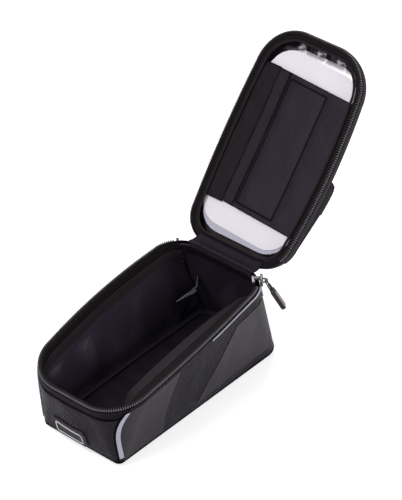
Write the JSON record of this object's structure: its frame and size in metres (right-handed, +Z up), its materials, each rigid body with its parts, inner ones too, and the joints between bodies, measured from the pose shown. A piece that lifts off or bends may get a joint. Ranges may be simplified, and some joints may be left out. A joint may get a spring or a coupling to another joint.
{
  "type": "frame bag",
  "caption": "Sewn box bag for a bicycle frame with an arched zip rim and a hinged lid that holds a phone behind a clear window under a sun hood.",
  "frame": {"origin": "centre of the underside, on the face the bag rests on", "axes": "+X toward the lid's hinge, +Y to the left, +Z up"},
  "size_m": [0.3029, 0.1115, 0.2214],
  "materials": {
    "base_panel": "matt woven polyester",
    "base_board": "stiff plastic board",
    "side_panel_left": "coated polyester with a small woven dot pattern",
    "side_panel_right": "coated polyester with a small woven dot pattern",
    "badge_end_panel": "coated polyester with a small woven dot pattern",
    "hinge_end_panel": "matt woven polyester",
    "collar_band": "matt woven polyester",
    "lining": "thin nylon with a soft sheen",
    "zip_tape_body": "woven tape",
    "hinge_lining_band": "thin nylon with a soft sheen",
    "zip_chain_body": "nylon coil",
    "zip_end_stop": "plated metal",
    "rim_binding": "folded binding tape",
    "floor_binding": "folded binding tape",
    "corner_binding_left": "folded binding tape",
    "corner_binding_right": "folded binding tape",
    "inner_tag": "satin ribbon",
    "reflector_badge_left": "pale reflective tape",
    "reflector_badge_right": "pale reflective tape",
    "reflector_hinge_left": "pale reflective tape",
    "reflector_hinge_right": "pale reflective tape",
    "gloss_field_left": "smooth heat-pressed film",
    "gloss_field_right": "smooth heat-pressed film",
    "gloss_band_left": "smooth heat-pressed film",
    "gloss_band_right": "smooth heat-pressed film",
    "badge_patch": "moulded rubber",
    "badge_outline": "white raised line",
    "hinge_piping": "matt woven polyester",
    "hinge_strip": "matt woven polyester",
    "strap_webbing": "woven webbing",
    "zip_slider": "plated metal",
    "lid_shell": "moulded padded shell with a smooth coated face",
    "visor_hood": "matt woven polyester",
    "window_film": "clear flexible film",
    "window_bead": "welded edge",
    "zip_tape_lid": "woven tape",
    "zip_chain_lid": "nylon coil",
    "lid_binding": "folded binding tape",
    "hinge_strip_lid": "matt woven polyester",
    "phone_flap": "thin nylon with a soft sheen",
    "flap_edge_band": "folded binding tape",
    "flap_mount_strip": "woven tape",
    "flap_hook_tape": "matt woven polyester",
    "sleeve_insert": "plain white card",
    "sleeve_insert_back": "plain card in shadow",
    "pull_link": "plated metal",
    "pull_tab": "moulded rubber",
    "pull_face": "plated metal"
  },
  "bodies": {
    "bag": {"base_panel": "base_panel", "base_board": "base_board", "side_panel_left": "side_panel_left", "side_panel_right": "side_panel_right", "badge_end_panel": "badge_end_panel", "hinge_end_panel": "hinge_end_panel", "collar_band": "collar_band", "lining": "lining", "zip_tape_body": "zip_tape_body", "hinge_lining_band": "hinge_lining_band", "zip_chain_body": "zip_chain_body", "zip_end_stop": "zip_end_stop", "rim_binding": "rim_binding", "floor_binding": "floor_binding", "corner_binding_left": "corner_binding_left", "corner_binding_right": "corner_binding_right", "inner_tag": "inner_tag", "reflector_badge_left": "reflector_badge_left", "reflector_badge_right": "reflector_badge_right", "reflector_hinge_left": "reflector_hinge_left", "reflector_hinge_right": "reflector_hinge_right", "gloss_field_left": "gloss_field_left", "gloss_field_right": "gloss_field_right", "gloss_band_left": "gloss_band_left", "gloss_band_right": "gloss_band_right", "badge_patch": "badge_patch", "badge_outline": "badge_outline", "hinge_piping": "hinge_piping", "hinge_strip": "hinge_strip", "strap_webbing": "strap_webbing", "zip_slider": "zip_slider"},
    "lid": {"lid_shell": "lid_shell", "visor_hood": "visor_hood", "window_film": "window_film", "window_bead": "window_bead", "zip_tape_lid": "zip_tape_lid", "zip_chain_lid": "zip_chain_lid", "lid_binding": "lid_binding", "hinge_strip_lid": "hinge_strip_lid", "phone_flap": "phone_flap", "flap_edge_band": "flap_edge_band", "flap_mount_strip": "flap_mount_strip", "flap_hook_tape": "flap_hook_tape", "sleeve_insert": "sleeve_insert", "sleeve_insert_back": "sleeve_insert_back"},
    "link": {"pull_link": "pull_link"},
    "tab": {"pull_tab": "pull_tab", "pull_face": "pull_face"}
  },
  "joints": [
    {"name": "lid_hinge", "type": "hinge", "parent": "bag", "child": "lid", "pos_m": [0.0712, 0, 0.0847], "axis": [0, -1, 0], "range_deg": [0, 139]},
    {"name": "pull_link_swing", "type": "hinge", "parent": "bag", "child": "link", "pos_m": [0.06519, -0.04537, 0.08604], "axis": [-0.729, -0.6845, 0], "range_deg": [-8, 100]},
    {"name": "pull_tab_swing", "type": "hinge", "parent": "link", "child": "tab", "pos_m": [0.06752, -0.04784, 0.07992], "axis": [-0.729, -0.6845, 0], "range_deg": [-4, 45]}
  ]
}
